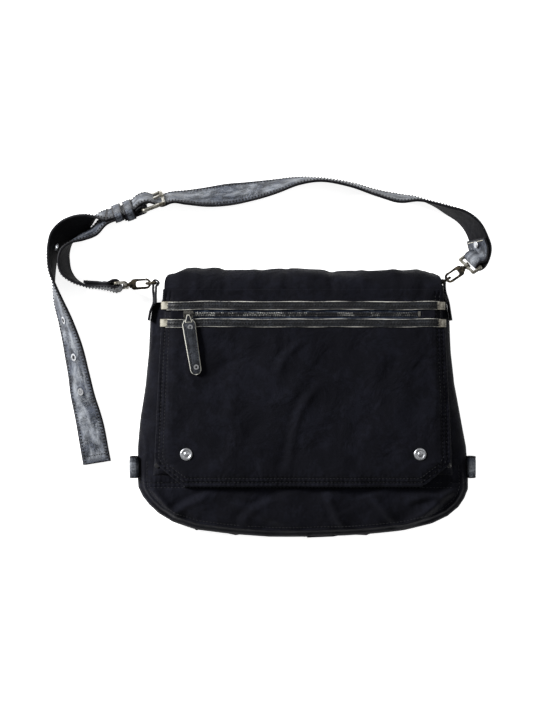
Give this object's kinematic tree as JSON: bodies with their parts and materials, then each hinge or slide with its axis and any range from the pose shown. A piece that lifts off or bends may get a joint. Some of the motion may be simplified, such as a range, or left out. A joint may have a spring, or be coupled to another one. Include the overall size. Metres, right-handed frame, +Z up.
{
  "type": "messenger bag",
  "caption": "Flat canvas messenger bag with snap-down flap, zip pocket across the flap and a buckled leather shoulder strap on snap hooks.",
  "frame": {"origin": "centre of the back panel's outer face, on the surface that the bag lies on", "axes": "+Z up out of the flap, +Y towards the mouth of the bag, +X to the viewer's right with the flap facing up"},
  "size_m": [0.5359, 0.433, 0.0569],
  "materials": {
    "canvas": "matt",
    "lining": "matt",
    "webbing": "matt",
    "worn_leather": "worn satin",
    "dark_leather": "satin",
    "cream_leather": "satin",
    "zip_tape": "matt",
    "zip_metal": "satin",
    "snap_metal": "satin",
    "old_nickel": "worn",
    "old_brass": "dark worn"
  },
  "bodies": {
    "bag": {"back_panel": "canvas", "front_panel": "canvas", "front_lower_band": "canvas", "gusset_left": "canvas", "gusset_right": "canvas", "gusset_bottom": "canvas", "lining_back": "lining", "lining_front": "lining", "front_pocket": "canvas", "pocket_rivets": "snap_metal", "snap_studs": "snap_metal", "side_loop_left": "worn_leather", "side_loop_right": "worn_leather", "strap_tab_left": "dark_leather", "strap_tab_right": "dark_leather", "flap_roll": "canvas"},
    "flap": {"flap_facing": "lining", "flap_pocket_bag": "lining", "flap_upper_panel": "canvas", "flap_lower_panel": "canvas", "zip_tape_upper": "zip_tape", "zip_tape_lower": "zip_tape", "zip_teeth_upper": "zip_metal", "zip_teeth_lower": "zip_metal", "zip_end_stop": "zip_metal", "zip_end_patches": "canvas", "trim_strip_upper": "worn_leather", "trim_strip_lower": "worn_leather", "trim_tab_upper_left": "cream_leather", "trim_tab_upper_right": "cream_leather", "trim_tab_lower_left": "cream_leather", "trim_tab_lower_right": "cream_leather", "snap_caps": "snap_metal", "snap_sockets": "snap_metal"},
    "slider": {"zip_slider": "zip_metal"},
    "puller": {"zip_pull": "worn_leather", "zip_pull_eyelets": "snap_metal"},
    "strap": {"ring_left": "old_brass", "ring_right": "old_brass", "hook_body_left": "old_brass", "hook_body_right": "old_brass", "hook_eye_left": "old_nickel", "hook_eye_right": "old_nickel", "long_strap_leather": "worn_leather", "long_strap_backing": "webbing", "long_strap_end": "worn_leather", "short_strap_leather": "worn_leather", "short_strap_backing": "webbing", "short_strap_buckle_end": "worn_leather", "short_strap_eye_end": "worn_leather", "chape_rivets": "snap_metal", "buckle_frame": "old_nickel", "keeper_fixed": "worn_leather"},
    "tail": {"strap_tail_leather": "worn_leather", "strap_tail_backing": "webbing", "tail_eyelets": "snap_metal"},
    "prong": {"buckle_prong": "old_nickel"},
    "loose_keeper": {"keeper_loose": "worn_leather"},
    "left_gate": {"hook_gate_left": "old_brass"},
    "right_gate": {"hook_gate_right": "old_brass"}
  },
  "joints": [
    {"name": "flap_open", "type": "hinge", "parent": "bag", "child": "flap", "pos_m": [0, 0.135, 0.0255], "axis": [-1, 0, 0], "range_deg": [0, 150], "deforming": ["flap_roll"]},
    {"name": "zip_slide", "type": "slide", "parent": "flap", "child": "slider", "axis": [1, 0, 0], "range_m": [0, 0.2677]},
    {"name": "puller_swing", "type": "hinge", "parent": "slider", "child": "puller", "pos_m": [-0.137, 0.105, 0.0542], "axis": [-1, 0, 0], "range_deg": [0, 165]},
    {"name": "strap_swing", "type": "hinge", "parent": "bag", "child": "strap", "pos_m": [0, 0.1435, 0.024], "axis": [1, 0, 0], "range_deg": [0, 75], "deforming": ["strap_tab_left", "strap_tab_right"]},
    {"name": "tail_bend", "type": "hinge", "parent": "strap", "child": "tail", "pos_m": [-0.23855, 0.22519, 0.00758], "axis": [1, 0, 0], "range_deg": [-60, 0]},
    {"name": "prong_swing", "type": "hinge", "parent": "strap", "child": "prong", "pos_m": [-0.194, 0.2375, 0.0236], "axis": [0.1458, -0.3797, 0.9135], "range_deg": [0, 10]},
    {"name": "keeper_slide", "type": "slide", "parent": "strap", "child": "loose_keeper", "axis": [-0.9336, -0.3584, 0], "range_m": [0, 0.004]},
    {"name": "left_gate_open", "type": "hinge", "parent": "strap", "child": "left_gate", "pos_m": [-0.1998, 0.14695, 0.024], "axis": [0, 0, -1], "range_deg": [0, 15], "stiffness_Nm_per_rad": 0.02},
    {"name": "right_gate_open", "type": "hinge", "parent": "strap", "child": "right_gate", "pos_m": [0.18344, 0.15995, 0.024], "axis": [0, 0, 1], "range_deg": [0, 15], "stiffness_Nm_per_rad": 0.02}
  ],
  "couplings": [
    {"joint": "tail_bend", "follows": "strap_swing", "ratio": -0.8}
  ]
}
